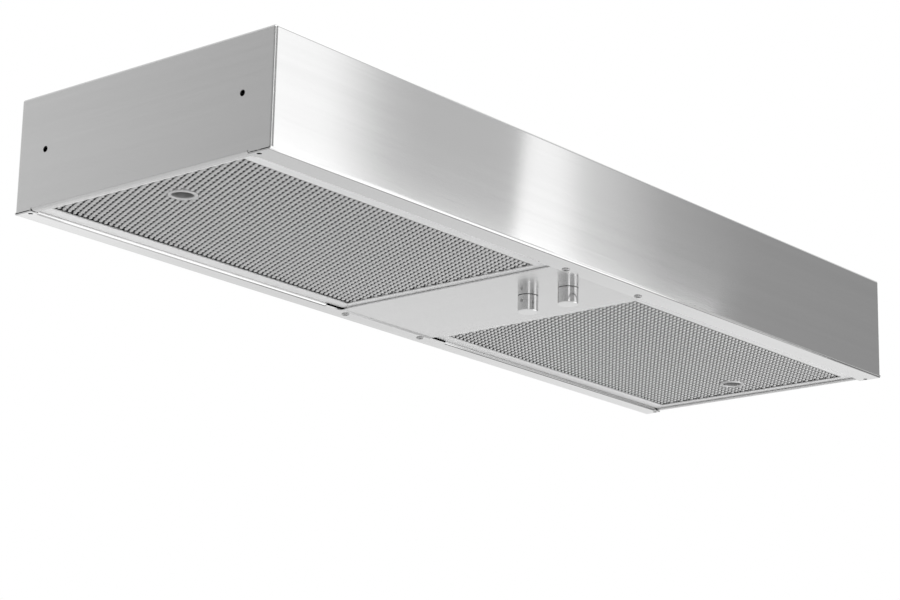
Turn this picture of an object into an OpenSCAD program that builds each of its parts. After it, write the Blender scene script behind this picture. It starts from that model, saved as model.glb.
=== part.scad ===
// Range hood insert for a cabinet: a folded stainless steel body with two
// slide-out aluminium mesh filters, a centre panel with two knobs, and a
// blower with one motor and two wheels under a rectangular duct collar.
// The origin is the centre of the underside. X runs along the front,
// -Y is the front, and +Z is up.

/* [Body] */
// Width of the body along the front
body_w = 914.4; // [860:0.1:1100]
// Depth of the body from front to back
body_d = 299.7; // [292:0.1:330]
// Height of the body without the duct collar
body_h = 104; // [103:0.5:130]
// Thickness of the stainless sheet
sheet_t = 1.2; // [0.9:0.1:1.4]
// Outside radius of the folds in the sheet
fold_r = 2.4; // [1.8:0.1:2.8]

/* [Flanges] */
// Width of the flange under the front
front_flange = 25; // [23:0.5:30]
// Width of the flange under the back
rear_flange = 20; // [19:0.5:26]
// Width of the ledge at the foot of each end panel
end_flange = 6.5; // [6:0.5:8]
// Width of the flange along the top of each wall
top_flange = 12; // [11:0.5:15]
// Height of the upturned lip beside the filters
lip_h = 8; // [5:0.5:10]

/* [Centre panel] */
// Width of the panel between the filters
panel_w = 132; // [130:0.5:145]
// Length of the panel that lies on each flange
panel_lap = 13; // [12:0.5:15]
// Distance between the left and right panel screws
panel_screw_gap = 110; // [100:0.5:112]

/* [Filters] */
// Length of each filter that lies over the centre panel
filter_lap = 5; // [4:0.5:7]
// Height of the filter frame
filter_h = 9.5; // [8:0.5:10]
// Width of the filter frame's long faces
frame_face = 14; // [10:0.5:18]
// Width of the filter frame's face beside the end panel
outer_face = 9; // [8:0.5:12]
// Width of the filter frame's face over the centre panel
inner_face = 14; // [10:0.5:16]
// Radius of the finger hole in each filter
eyelet_r = 9.5; // [8:0.5:12]
// Width of the rolled rim round each finger hole
eyelet_rim = 3.2; // [2.5:0.1:4.5]
// Distance from the end of the body to the centre of the finger hole
eyelet_inset = 51.5; // [45:0.5:80]

/* [Knobs] */
// Diameter of each knob
knob_d = 19.4; // [18:0.1:24]
// Height of each knob
knob_h = 14.8; // [12.5:0.1:18]
// Front face to the front knob's centre, as a share of the depth
knob_inset_share = 0.1962; // [0.17:0.001:0.2]
// Distance between the two knobs, as a share of the depth
knob_gap_share = 0.1565; // [0.14:0.001:0.16]

/* [Blower] */
// Room round each wheel for its housing, above it and below it
wheel_room = 10.45; // [10:0.05:14]
// Radius of the motor beyond the radius of a wheel
motor_over = 5; // [0:0.5:6]
// Length of the motor case
motor_l = 50; // [40:0.5:54]
// Inside width of each scroll housing
scroll_w = 59.2; // [50:0.1:62]
// Distance from the back of the body to the blower's axis
blower_inset = 100; // [97:0.5:106]
// Gap between the housings and the filters
blower_gap = 2.5; // [2:0.5:6]
// Number of blades in each wheel
blade_count = 28; // [20:1:34]

/* [Duct collar] */
// Outside length of the collar along X
collar_w = 253; // [240:0.5:256]
// Outside width of the collar along Y
collar_d = 82; // [76:0.5:84]
// Height of the collar above the top panel
collar_h = 34; // [26:0.5:50]

/* [Hidden] */
$fn = 48;
steel = "silver";
pale_metal = "gainsboro";
dark_metal = "dimgray";

// Cutting bodies run this far past what they cut
overrun = 1;
// Gap between sheets that slot together
fit_gap = 0.2;
// Gap under a part that rests on another
seat_gap = 0.3;
// Radial gap between a turning shaft and its bearing
running_gap = 0.05;

// Levels of the underside and the upper side of the top panel
top_under = body_h - 2 * sheet_t;
top_z = body_h - sheet_t;
// Inner faces of the long walls, and of the end walls
wall_y = body_d / 2 - sheet_t;
wall_x = body_w / 2 - sheet_t;
// Level of the upper side of the end ledges and of the centre panel
ledge_z = 2 * sheet_t;
// Inner edges of the two long flanges, and the room between them
flange_front = -body_d / 2 + front_flange;
flange_back = body_d / 2 - rear_flange;
flange_mid = (flange_front + flange_back) / 2;
between_d = flange_back - flange_front;

// Corner holes in the flanges, from the end and from the long edge
corner_hole_r = 2.1;
corner_hole_x = 3.7;
corner_hole_y = 16;
// Screw holes in the end panels
side_hole_r = 2.75;
side_hole_gap = 232;
side_hole_z = 53;
// Width of the tabs on an end panel that are welded behind the long walls
weld_tab = 12;
// Gap between an end panel and the flanges under it, and the slits beside its ledge
foot_gap = 0.8;
relief_w = 0.8;
// Conduit hole in the back
knockout_r = 11.1;

// The lips stop short of the end ledges and of the centre panel
lip_end_gap = 2;
lip_panel_gap = 22;
lip_in = panel_w / 2 + lip_panel_gap;
lip_out = body_w / 2 - end_flange - lip_end_gap;

// Blind rivets, also used along the top flanges
rivet_r = 1.6;
rivet_head_r = 3.2;
rivet_head_h = 1.1;
rivet_tail_r = 2.4;
rivet_tail_h = 1.8;
rivet_edge = 7;
rivet_columns = 5;
rivet_corner = 45;

// Pan head screws and their nuts
screw_r = 2;
screw_head_r = 3.75;
screw_head_h = 2.2;
screw_l = 9;
slot_w = 1.1;
slot_depth = 1.2;
nut_flat = 7;
nut_h = 3;
panel_screw_edge = 5.5;
panel_screw_x = panel_screw_gap / 2;
front_screw_y = flange_front - panel_screw_edge;
rear_screw_y = flange_back + panel_screw_edge;

// Filter frame and mesh
frame_t = 1;
filter_lip_gap = 0.4;
mesh_gap = 0.5;
filter_out = body_w / 2 - fold_r;
filter_in = panel_w / 2 - filter_lap;
filter_l = filter_out - filter_in;
filter_front = flange_front + filter_lip_gap;
filter_back = flange_back - filter_lip_gap;
filter_d = filter_back - filter_front;
filter_x = (filter_out + filter_in) / 2;
filter_y = (filter_back + filter_front) / 2;
filter_z = ledge_z + seat_gap;
mesh_z = filter_z + frame_t + mesh_gap;
mesh_h = filter_h - 2 * frame_t - mesh_gap;
eyelet_x = body_w / 2 - eyelet_inset;
eyelet_wall = 0.8;
eyelet_roll = 0.9;

// Knobs, shafts and the controls behind the panel
knob_inset = body_d * knob_inset_share;
knob_gap = body_d * knob_gap_share;
knob_y = [-body_d / 2 + knob_inset + knob_gap, -body_d / 2 + knob_inset];
fan_y = knob_y[0];
light_y = knob_y[1];
knob_chamfer = 0.6;
knob_clearance = 0.4;
knob_top = -knob_clearance;
shaft_r = 3;
bushing_r = 4.75;
bushing_drop = 3;
control_nut_flat = 13;
control_nut_h = 2.2;
nut_clearance = 0.5;
knob_recess_r = control_nut_flat / sqrt(3) + nut_clearance;
knob_recess = bushing_drop + nut_clearance - knob_clearance;
knob_floor = 2.8;
shaft_end = knob_top - knob_h + knob_floor;
set_screw_r = 1.5;
set_screw_drop = 5.2;
set_screw_sink = 1.4;
set_screw_key = 1.7;
control_r = 14;
control_h = 16;
shaft_socket = 7;
dimmer_w = 27;
terminal_w = 4.8;
terminal_t = 0.8;
terminal_h = 6;
terminal_gap = 7;

// Cover over the controls
shield_t = 0.8;
shield_margin = 21;
shield_w = 56;
shield_h = 30;
shield_foot = 9;
shield_front = light_y - shield_margin;
shield_back = fan_y + shield_margin;
shield_d = shield_back - shield_front;
shield_mid = (shield_front + shield_back) / 2;
stud_l = 7;
stud_x = (shield_w + shield_foot) / 2;

// Blower, as large as the height between the filters and the top panel lets it be
filter_top = filter_z + filter_h;
blower_room = top_under - filter_top - blower_gap;
wheel_r = blower_room / 2 - wheel_room;
motor_r = wheel_r + motor_over;
scroll_t = 0.8;
motor_gap = 9;
scroll_in = motor_l / 2 + motor_gap;
scroll_out = scroll_in + scroll_t + scroll_w;
tongue_gap = 3.5;
volute_step = 3;
volute_r = wheel_r + tongue_gap + volute_step / 2;
blower_drop = blower_room - volute_r - scroll_t - 3 / 2 * volute_step;
blower_y = body_d / 2 - blower_inset;
blower_z = top_under - blower_drop;
neck_left = -volute_step / 2;
neck_right = volute_r + 5 / 2 * volute_step;
neck_mid = (neck_left + neck_right) / 2;
neck_w = neck_right - neck_left;
scroll_foot = 9;
shaft_hole_r = 14;
wheel_side_gap = 4;
wheel_in = scroll_in + scroll_t + wheel_side_gap;
wheel_out = scroll_out - wheel_side_gap;
wheel_w = wheel_out - wheel_in;
blade_depth = 7;
blade_t = 0.8;
blade_lean = 38;
ring_t = 1.2;
hub_r = 8;
hub_l = 14;
inlet_gap = 0.5;
inlet_r = wheel_r - blade_depth - inlet_gap;
inlet_lip = 3;
motor_shaft_r = 4;
end_bell = 5;
end_bell_share = 0.8;
boss_r = 10;
boss_l = 2.5;
band_t = 1.5;
band_w = 20;
band_foot = 14;

// Collar and damper
outlet_lip = 4.5;
collar_t = 0.9;
collar_foot = 11;
collar_y = blower_y + neck_mid;
pin_r = 2;
flap_t = 1;
flap_roll = 1.2;
flap_gap = 1.5;
hinge_rise = 7;
hinge_z = top_z + collar_t + hinge_rise;
barrel_r = pin_r + running_gap + flap_roll;
hinge_y = collar_y + collar_d / 2 - collar_t - flap_gap - barrel_r;
stop_w = 5;
stop_inset = 20;
collar_rivet_gap = collar_w / 4;

// Capacitor and its strap
cap_r = 14;
cap_l = 50;
cap_gap = 4;
cap_drop = 3;
cap_rim = 0.8;
strap_t = 1;
strap_w = 14;
strap_foot = 12;
cap_y = blower_y - motor_r - band_foot - cap_gap - strap_foot - cap_r;
cap_z = top_under - cap_drop - cap_r;

// Junction box behind the motor, open downwards
box_w = 60;
box_motor_gap = 8.8;
box_top_gap = 17.6;
box_filter_gap = 15.8;
box_t = 1;
box_z = filter_top + box_filter_gap;
box_h = top_under - box_top_gap - box_z;
box_front = blower_y + motor_r + box_motor_gap;
box_d = wall_y - box_front;
box_mid = wall_y - box_d / 2;
cover_tab = 10;
cover_tab_d = 12;
cover_screw_x = box_w / 2 - box_t - cover_tab / 2;
block_w = 46;
block_d = 18;
block_h = 14;
block_ways = 4;
block_groove = 2;
block_z = box_z + box_h - box_t - block_h;

// Wiring
cable_r = 3.2;
cable_z = 10;
lead_r = 2.2;
lead_x = 17;
cable_inset = 14;
cable_y = box_front + cable_inset;
grommet_lip = 1.8;
grommet_side = 1.2;

// Bodies

// Extrudes a section along X, its own X inward along Y and its own Y up
module along_x(length) {
    rotate([90, 0, 90]) linear_extrude(length, center = true) children();
}

// Extrudes a section along Y, its own X along X and its own Y up
module along_y(length) {
    rotate([90, 0, 0]) linear_extrude(length, center = true) children();
}

// A quarter disc in the corner between -X and -Y
module quarter() {
    intersection() {
        circle(r = fold_r);
        translate([-fold_r, -fold_r]) square(fold_r);
    }
}

// A fold of the sheet, turning from -X of its centre to -Y
module fold() {
    difference() {
        quarter();
        circle(r = fold_r - sheet_t);
    }
}

// A centred ring plate, its hole through
module ring(r_out, r_in, thick) {
    difference() {
        cylinder(r = r_out, h = thick);
        translate([0, 0, -overrun]) cylinder(r = r_in, h = thick + 2 * overrun);
    }
}

// A centred box
module block(size) {
    cube(size, center = true);
}

// A pan head screw, its head downwards from Z = 0 and its shank upwards
module pan_screw(length) {
    cylinder(r = screw_r, h = length);
    difference() {
        rotate_extrude() pan_outline();
        for (turn = [0, 90]) rotate(turn)
            translate([0, 0, -screw_head_h]) block([screw_head_r, slot_w, 2 * slot_depth]);
    }
}

// Half section of a pan head: flat against the sheet, rounded at its edge
module pan_outline() {
    round_r = screw_head_h * 2 / 3;
    translate([0, -screw_head_h]) square([screw_head_r - round_r, screw_head_h]);
    translate([0, round_r - screw_head_h]) square([screw_head_r, screw_head_h - round_r]);
    translate([screw_head_r - round_r, round_r - screw_head_h]) intersection() {
        circle(r = round_r);
        translate([0, -round_r]) square(round_r);
    }
}

// A blind rivet, its head above Z = 0 and its tail below the grip
module rivet(grip) {
    translate([0, 0, -grip]) cylinder(r = rivet_r, h = grip);
    cylinder(r1 = rivet_head_r, r2 = rivet_r, h = rivet_head_h);
    translate([0, 0, -grip - rivet_tail_h]) cylinder(r = rivet_tail_r, h = rivet_tail_h);
}

// A hexagon nut standing on Z = 0
module hex_nut(flat, bore_r, height) {
    difference() {
        cylinder(d = flat * 2 / sqrt(3), h = height, $fn = 6);
        translate([0, 0, -overrun]) cylinder(r = bore_r, h = height + 2 * overrun);
    }
}

// A round lead through a list of points, with a ball at each corner
module lead(points, r) {
    for (i = [0 : len(points) - 2]) stretch(points[i], points[i + 1], r);
    if (len(points) > 2)
        for (i = [1 : len(points) - 2]) translate(points[i]) sphere(r = r);
}

// A round bar from one point to another
module stretch(from, to, r) {
    way = to - from;
    length = norm(way);
    translate(from) rotate([0, acos(way[2] / length), atan2(way[1], way[0])])
        cylinder(r = r, h = length);
}

// Front and rear walls

// Section of a long wall's foot: the fold, and the flange up to the fold of its lip
module foot_section(flange) {
    translate([fold_r, fold_r]) fold();
    translate([fold_r, 0]) square([flange - 2 * fold_r, sheet_t]);
}

// Section of the wall above its foot, with the top flange
module wall_section() {
    translate([0, fold_r]) square([sheet_t, body_h - 2 * fold_r]);
    translate([fold_r, body_h - fold_r]) mirror([0, 1]) fold();
    translate([fold_r, top_z]) square([top_flange - fold_r, sheet_t]);
}

// The upturned lip at the flange's inner edge
module lip_section(flange) {
    translate([flange - fold_r, fold_r]) mirror([1, 0]) fold();
    translate([flange - sheet_t, fold_r]) square([sheet_t, lip_h - fold_r]);
}

// The flange's inner edge where it has no lip
module plain_edge(flange) {
    translate([flange - fold_r, 0]) square([fold_r, sheet_t]);
}

// Places of the rivets along a long wall
function rivet_x(i) = (i / (rivet_columns - 1) - 1 / 2) * (body_w - 2 * rivet_corner);

// A long wall with its outer face on Y = 0 and its inside towards +Y
module long_wall(flange) {
    end_edge = body_w / 2 - lip_out;
    difference() {
        union() {
            along_x(body_w) foot_section(flange);
            along_x(body_w - 2 * (fold_r + fit_gap)) wall_section();
            along_x(2 * lip_in) plain_edge(flange);
            for (side = [-1, 1]) {
                translate([side * (body_w - end_edge) / 2, 0, 0])
                    along_x(end_edge) plain_edge(flange);
                translate([side * (lip_in + lip_out) / 2, 0, 0])
                    along_x(lip_out - lip_in) lip_section(flange);
            }
        }
        for (side = [-1, 1]) {
            translate([side * (body_w / 2 - corner_hole_x), corner_hole_y, -overrun])
                cylinder(r = corner_hole_r, h = ledge_z + overrun);
            translate([side * panel_screw_x, flange - panel_screw_edge, -overrun])
                cylinder(r = screw_r, h = ledge_z + overrun);
        }
        for (i = [0 : rivet_columns - 1])
            translate([rivet_x(i), rivet_edge, top_under]) cylinder(r = rivet_r, h = 2 * ledge_z);
    }
}

module front_panel() {
    color(steel) translate([0, -body_d / 2, 0]) long_wall(front_flange);
}

module rear_panel() {
    color(steel) difference() {
        mirror([0, 1, 0]) translate([0, -body_d / 2, 0]) long_wall(rear_flange);
        knockout();
    }
}

// The conduit hole through the back and the junction box
module knockout() {
    translate([0, body_d / 2 + overrun, box_z + box_h / 2]) rotate([90, 0, 0])
        cylinder(r = knockout_r, h = sheet_t + box_t + 2 * overrun);
}

// End walls

// The right end panel
module end_wall() {
    flat_y = body_d / 2 - fold_r;
    flange_y = body_d / 2 - top_flange - fit_gap;
    high = body_h - fold_r;
    low = sheet_t + fold_r;
    foot = sheet_t + foot_gap;
    difference() {
        translate([body_w / 2, 0, 0]) {
            translate([-sheet_t / 2, 0, 0]) along_x(sheet_t) {
                translate([-flat_y, low]) square([2 * flat_y, high - low]);
                translate([-flat_y, foot]) square([flange_front + flat_y, low - foot]);
                translate([flange_back, foot]) square([flat_y - flange_back, low - foot]);
            }
            translate([0, flange_mid, sheet_t]) along_y(between_d - 2 * relief_w) {
                translate([-fold_r, fold_r]) mirror([1, 0]) fold();
                translate([-end_flange, 0]) square([end_flange - fold_r, sheet_t]);
            }
            along_y(2 * flat_y) translate([-fold_r, high]) rotate(180) fold();
            along_y(2 * flange_y) translate([-top_flange, top_z])
                square([top_flange - fold_r, sheet_t]);
            for (turn = [0, 1]) mirror([0, turn, 0]) {
                translate([-fold_r, -flat_y, 0]) end_corner();
                translate([-weld_tab, -wall_y, fold_r + fit_gap])
                    cube([weld_tab - fold_r, sheet_t, high - fold_r - 2 * fit_gap]);
            }
        }
        for (side = [-1, 1]) {
            translate([wall_x - overrun, side * side_hole_gap / 2, side_hole_z]) rotate([0, 90, 0])
                cylinder(r = side_hole_r, h = sheet_t + 2 * overrun);
            translate([body_w / 2 - rivet_edge, side * body_d / 4, top_under])
                cylinder(r = rivet_r, h = 2 * ledge_z);
        }
    }
}

// An end panel's corner: its fold, welded shut and ground round at the top
module end_corner() {
    low = fold_r + fit_gap;
    translate([0, 0, low]) linear_extrude(body_h - fold_r - low) mirror([1, 0]) quarter();
    translate([0, 0, body_h - fold_r]) intersection() {
        sphere(r = fold_r);
        translate([0, -fold_r, 0]) cube(fold_r);
    }
}

module left_end_panel() {
    color(steel) mirror([1, 0, 0]) end_wall();
}

module right_end_panel() {
    color(steel) end_wall();
}

// Top panel, with an upturned lip round each of the blower's outlets

module top_panel() {
    panel_x = body_w - 2 * (fold_r + fit_gap);
    panel_y = body_d - 2 * (fold_r + fit_gap);
    color(steel) difference() {
        union() {
            translate([0, 0, top_under + sheet_t / 2]) block([panel_x, panel_y, sheet_t]);
            outlets() translate([0, 0, outlet_lip / 2])
                block([scroll_w + 2 * sheet_t, neck_w + 2 * sheet_t, outlet_lip + sheet_t]);
        }
        outlets() block([scroll_w, neck_w, 4 * outlet_lip]);
        top_fixings() translate([0, 0, top_under - overrun])
            cylinder(r = rivet_r, h = sheet_t + 2 * overrun);
        blower_fixings() translate([0, 0, top_under - overrun])
            cylinder(r = screw_r, h = sheet_t + 2 * overrun);
        collar_fixings() translate([0, 0, top_under - overrun])
            cylinder(r = rivet_r, h = sheet_t + 2 * overrun);
    }
}

// The middle of each outlet, halfway through the top panel
module outlets() {
    for (side = [-1, 1])
        translate([side * (scroll_in + scroll_t + scroll_out) / 2, collar_y, top_under + sheet_t / 2])
            children();
}

// Places of the rivets through the top flanges
module top_fixings() {
    for (side = [-1, 1]) {
        for (i = [0 : rivet_columns - 1])
            translate([rivet_x(i), side * (body_d / 2 - rivet_edge), 0]) children();
        for (end = [-1, 1])
            translate([end * (body_w / 2 - rivet_edge), side * body_d / 4, 0]) children();
    }
}

// Places of the screws that hang the blower, the motor band and the strap
module blower_fixings() {
    for (side = [-1, 1]) {
        for (row = [-1, 1])
            for (foot_x = [scroll_in - scroll_foot / 2, scroll_out + scroll_t + scroll_foot / 2])
                translate([side * foot_x, collar_y + row * neck_w / 3, 0]) children();
        translate([0, blower_y + side * (motor_r + band_t + (band_foot - band_t) / 2), 0]) children();
        translate([0, cap_y + side * (cap_r + strap_t + (strap_foot - strap_t) / 2), 0]) children();
    }
}

// Places of the rivets through the collar's foot
module collar_fixings() {
    for (row = [-1, 1])
        for (i = [-3, -1, 1, 3])
            translate([i * collar_rivet_gap / 2,
                collar_y + row * (collar_d + collar_foot) / 2, 0]) children();
}

module top_rivets() {
    color(pale_metal) top_fixings() translate([0, 0, body_h]) rivet(2 * sheet_t);
}

// Centre panel: a flat sheet that lies on both flanges, with two studs for the shield

module centre_panel() {
    color(steel) {
        difference() {
            translate([0, flange_mid, sheet_t * 3 / 2])
                block([panel_w, between_d + 2 * panel_lap, sheet_t]);
            panel_fixings() cylinder(r = screw_r, h = 2 * ledge_z);
            for (y = knob_y) translate([0, y, 0]) cylinder(r = bushing_r, h = 2 * ledge_z);
        }
        shield_fixings() translate([0, 0, ledge_z]) cylinder(r = screw_r, h = stud_l);
    }
}

// Places of the four panel screws
module panel_fixings() {
    for (side = [-1, 1])
        for (y = [front_screw_y, rear_screw_y]) translate([side * panel_screw_x, y, 0]) children();
}

// Places of the studs that hold the shield
module shield_fixings() {
    for (side = [-1, 1]) translate([side * stud_x, shield_mid, 0]) children();
}

module panel_screws() {
    color(pale_metal) panel_fixings() rotate(45) pan_screw(screw_l);
}

module panel_nuts() {
    color(dark_metal) panel_fixings() translate([0, 0, ledge_z]) hex_nut(nut_flat, screw_r, nut_h);
}

// Filters

// Mirrors its children to the left or leaves them on the right
module on_side(side) {
    mirror([side < 0 ? 1 : 0, 0, 0]) children();
}

// The channel frame: an outer box, its window, and the channel inside
module filter_frame() {
    window = [filter_l - outer_face - inner_face, filter_d - 2 * frame_face, filter_h + 2 * overrun];
    color(pale_metal) translate([filter_x, filter_y, filter_z + filter_h / 2]) difference() {
        block([filter_l, filter_d, filter_h]);
        translate([(inner_face - outer_face) / 2, 0, 0]) block(window);
        block([filter_l - 2 * frame_t, filter_d - 2 * frame_t, filter_h - 2 * frame_t]);
    }
}

// The pack of expanded metal layers that the channel holds
module filter_mesh() {
    edge = frame_t + fit_gap;
    color("darkgray") difference() {
        translate([filter_x, filter_y, mesh_z + mesh_h / 2])
            block([filter_l - 2 * edge, filter_d - 2 * edge, mesh_h]);
        translate([eyelet_x, 0, mesh_z - overrun])
            cylinder(r = eyelet_r + eyelet_wall, h = mesh_h + 2 * overrun);
    }
}

// The eyelet: a tube with a rolled rim on each face of the mesh
module filter_eyelet() {
    color(pale_metal) translate([eyelet_x, 0, mesh_z]) rotate_extrude() {
        translate([eyelet_r, -eyelet_roll]) square([eyelet_wall, mesh_h + 2 * eyelet_roll]);
        for (level = [0, mesh_h]) translate([eyelet_r + eyelet_rim / 2, level])
            intersection() {
                circle(r = eyelet_rim / 2);
                translate([-eyelet_rim, level > 0 ? 0 : -eyelet_rim]) square([2 * eyelet_rim, eyelet_rim]);
            }
    }
}

module left_filter_frame() {
    on_side(-1) filter_frame();
}

module left_filter_mesh() {
    on_side(-1) filter_mesh();
}

module left_filter_eyelet() {
    on_side(-1) filter_eyelet();
}

module right_filter_frame() {
    on_side(1) filter_frame();
}

module right_filter_mesh() {
    on_side(1) filter_mesh();
}

module right_filter_eyelet() {
    on_side(1) filter_eyelet();
}

// Controls

// Places its children on the centre panel's underside, at a knob's place along Y
module at_knob(y) {
    translate([0, y, sheet_t]) children();
}

// A knob: a cup round the nut, with a bore for the shaft
module knob(side) {
    r = knob_d / 2;
    floor_z = knob_top - knob_recess;
    difference() {
        translate([0, 0, knob_top - knob_h]) {
            cylinder(r1 = r - knob_chamfer, r2 = r, h = knob_chamfer);
            translate([0, 0, knob_chamfer]) cylinder(r = r, h = knob_h - knob_chamfer);
        }
        translate([0, 0, floor_z]) cylinder(r = knob_recess_r, h = knob_recess + overrun);
        translate([0, 0, shaft_end]) cylinder(r = shaft_r, h = knob_h);
        translate([0, 0, knob_top - set_screw_drop]) rotate([0, side * 90, 0])
            cylinder(r = set_screw_r, h = knob_d);
    }
}

// The set screw in a knob's side, with a hexagon socket
module set_screw(side) {
    length = knob_d / 2 - set_screw_sink - shaft_r;
    translate([0, 0, knob_top - set_screw_drop]) rotate([0, side * 90, 0])
        translate([0, 0, shaft_r]) difference() {
            cylinder(r = set_screw_r, h = length);
            translate([0, 0, length / 2]) cylinder(d = set_screw_key, h = length, $fn = 6);
        }
}

// A turned shaft from inside the control down into its knob
module control_shaft() {
    translate([0, 0, shaft_end]) cylinder(r = shaft_r, h = sheet_t + shaft_socket - seat_gap - shaft_end);
}

// A control's bushing, its socket for the shaft and its two terminals
module control_base() {
    difference() {
        union() {
            translate([0, 0, -bushing_drop])
                cylinder(r = bushing_r, h = bushing_drop + sheet_t + shaft_socket);
            children();
        }
        translate([0, 0, -bushing_drop - overrun])
            cylinder(r = shaft_r + running_gap, h = bushing_drop + sheet_t + shaft_socket + overrun);
    }
    for (side = [-1, 1]) translate([side * terminal_gap, 0, sheet_t + control_h + terminal_h / 2])
        block([terminal_t, terminal_w, terminal_h]);
}

module fan_knob() {
    color(pale_metal) at_knob(fan_y) knob(-1);
}

module light_knob() {
    color(pale_metal) at_knob(light_y) knob(1);
}

module fan_set_screw() {
    color(dark_metal) at_knob(fan_y) set_screw(-1);
}

module light_set_screw() {
    color(dark_metal) at_knob(light_y) set_screw(1);
}

module fan_shaft() {
    color(pale_metal) at_knob(fan_y) control_shaft();
}

module light_shaft() {
    color(pale_metal) at_knob(light_y) control_shaft();
}

module fan_control() {
    color("dimgray") at_knob(fan_y) control_base()
        translate([0, 0, sheet_t]) cylinder(r = control_r, h = control_h);
}

module light_dimmer() {
    color("dimgray") at_knob(light_y) control_base()
        translate([0, 0, sheet_t + control_h / 2]) block([dimmer_w, dimmer_w, control_h]);
}

module control_nuts() {
    color(pale_metal) for (y = knob_y) at_knob(y) translate([0, 0, -control_nut_h])
        hex_nut(control_nut_flat, bushing_r, control_nut_h);
}

// The folded cover over both controls
module control_shield() {
    top = ledge_z + shield_h;
    color(steel) difference() {
        union() {
            translate([0, shield_mid, ledge_z + shield_h / 2]) block([shield_w, shield_d, shield_h]);
            translate([0, shield_mid, ledge_z + shield_t / 2])
                block([shield_w + 2 * shield_foot, shield_d, shield_t]);
        }
        translate([0, shield_mid, top - shield_t - shield_h])
            block([shield_w - 2 * shield_t, shield_d - 2 * shield_t, 2 * shield_h]);
        shield_fixings() translate([0, 0, ledge_z - overrun]) cylinder(r = screw_r, h = stud_l);
        translate([-lead_x, shield_back, cable_z]) rotate([90, 0, 0])
            cylinder(r = cable_r + grommet_side, h = 4 * shield_t, center = true);
    }
}

module shield_nuts() {
    color(dark_metal) shield_fixings() translate([0, 0, ledge_z + shield_t])
        hex_nut(nut_flat, screw_r, nut_h);
}

// Blower

// Places its children on the blower's axis, their Z along X
module on_axis(x) {
    translate([x, blower_y, blower_z]) rotate([0, 90, 0]) children();
}

// Outline of the scroll's air space, grown by a thickness of sheet
module volute(grow, top) {
    half = volute_step / 2;
    r1 = volute_r + grow;
    r2 = r1 + volute_step;
    r3 = r2 + volute_step;
    square(volute_step, center = true);
    intersection() {
        translate([-half, -half]) circle(r = r1);
        translate([-half - r1, -half]) square(r1);
    }
    intersection() {
        translate([half, -half]) circle(r = r2);
        translate([half - r2, -half - r2]) square(r2);
    }
    intersection() {
        translate([half, half]) circle(r = r3);
        translate([half, half - r3]) square(r3);
    }
    translate([neck_left - grow, half]) square([neck_w + 2 * grow, top - half]);
}

// A volute plate of a given thickness, from X inwards
module volute_plate(x, length, grow, top) {
    translate([x + length / 2, blower_y, blower_z]) along_x(length) volute(grow, top);
}

// A foot of the scroll, folded outwards under the top panel
module scroll_foot_at(x) {
    difference() {
        translate([x, collar_y, top_under - scroll_t / 2])
            block([scroll_foot + scroll_t, neck_w + 2 * scroll_t, scroll_t]);
        for (row = [-1, 1]) translate([x, collar_y + row * neck_w / 3, top_under - overrun])
            cylinder(r = screw_r, h = 2 * overrun);
    }
}

// The right scroll: its wrap and the plate beside the motor
module scroll() {
    color(pale_metal) {
        difference() {
            volute_plate(scroll_in, scroll_out - scroll_in, scroll_t, blower_drop);
            volute_plate(scroll_in + scroll_t, scroll_out, 0, blower_drop + overrun);
            on_axis(scroll_in - overrun) cylinder(r = shaft_hole_r, h = scroll_t + 2 * overrun);
        }
        scroll_foot_at(scroll_in - scroll_foot / 2);
    }
}

// The right inlet ring: the outer side plate with its rolled mouth
module inlet_ring() {
    color(pale_metal) {
        difference() {
            union() {
                volute_plate(scroll_out, scroll_t, scroll_t, blower_drop);
                on_axis(scroll_out - inlet_lip)
                    cylinder(r = inlet_r + scroll_t, h = inlet_lip + scroll_t / 2);
            }
            on_axis(scroll_out - inlet_lip - overrun)
                cylinder(r = inlet_r, h = inlet_lip + scroll_t + 2 * overrun);
        }
        scroll_foot_at(scroll_out + scroll_t + scroll_foot / 2);
    }
}

module left_scroll() {
    on_side(-1) scroll();
}

module right_scroll() {
    on_side(1) scroll();
}

module left_inlet_ring() {
    on_side(-1) inlet_ring();
}

module right_inlet_ring() {
    on_side(1) inlet_ring();
}

// The right wheel: hub, back disc, blades and the ring at the inlet
module wheel() {
    middle_r = wheel_r - blade_depth / 2;
    color("gray") {
        on_axis(wheel_in) ring(wheel_r, motor_shaft_r, ring_t);
        on_axis(wheel_in) ring(hub_r, motor_shaft_r, hub_l);
        on_axis(wheel_out - ring_t) ring(wheel_r, wheel_r - blade_depth, ring_t);
        on_axis(wheel_in) linear_extrude(wheel_w)
            for (i = [0 : blade_count - 1]) rotate(i * 360 / blade_count)
                translate([middle_r, 0]) rotate(blade_lean)
                    square([blade_depth - 2 * blade_t, blade_t], center = true);
    }
}

module left_wheel() {
    on_side(-1) wheel();
}

module right_wheel() {
    on_side(1) wheel();
}

module motor() {
    bell_r = motor_r * end_bell_share;
    color(dark_metal) difference() {
        union() {
            on_axis(-motor_l / 2 + end_bell) cylinder(r = motor_r, h = motor_l - 2 * end_bell);
            on_axis(-motor_l / 2) cylinder(r1 = bell_r, r2 = motor_r, h = end_bell);
            on_axis(motor_l / 2 - end_bell) cylinder(r1 = motor_r, r2 = bell_r, h = end_bell);
            on_axis(-motor_l / 2 - boss_l) cylinder(r = boss_r, h = motor_l + 2 * boss_l);
        }
        on_axis(-motor_l) cylinder(r = motor_shaft_r + running_gap, h = 2 * motor_l);
    }
}

module motor_shaft() {
    reach = wheel_in + hub_l;
    color(pale_metal) on_axis(-reach) cylinder(r = motor_shaft_r, h = 2 * reach);
}

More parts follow.
